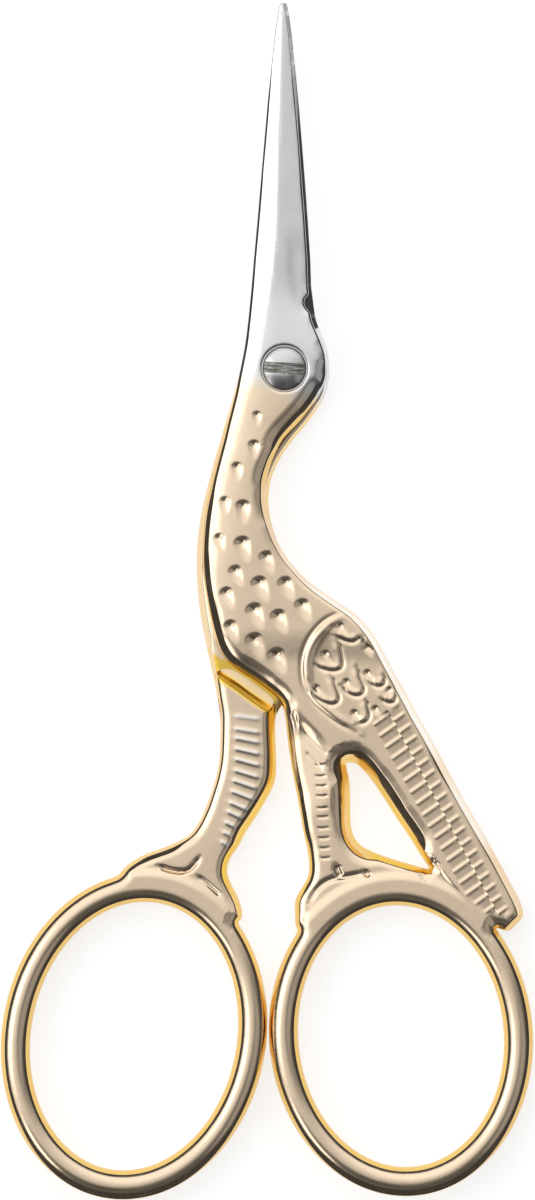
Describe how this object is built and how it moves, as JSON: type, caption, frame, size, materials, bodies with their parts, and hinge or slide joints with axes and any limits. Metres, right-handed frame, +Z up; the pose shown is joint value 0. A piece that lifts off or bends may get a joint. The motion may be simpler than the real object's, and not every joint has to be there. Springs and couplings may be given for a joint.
{
  "type": "embroidery scissors",
  "caption": "Small stork-shaped embroidery scissors: crossed neck and body halves on a slotted pivot screw, tapered blades for a beak and oval finger bows.",
  "frame": {"origin": "on the pivot axis, at the plane that the scissors lie on", "axes": "+Z up, towards the head of the screw; +Y from the pivot to the blade tips; +X to the right in the top view"},
  "size_m": [0.0402, 0.0902, 0.0036],
  "materials": {
    "plated_steel": "forged steel with a polished pale gold plating from the neck to the bows; the blades above the pivot are left as bright steel",
    "polished_steel": "polished nickel-plated steel"
  },
  "bodies": {
    "rear": {"rear_half": "plated_steel", "pivot_screw": "polished_steel"},
    "front": {"front_half": "plated_steel"}
  },
  "joints": [
    {"name": "pivot", "type": "hinge", "parent": "rear", "child": "front", "pos_m": [0, 0, 0], "axis": [0, 0, 1], "range_deg": [0, 150]}
  ]
}
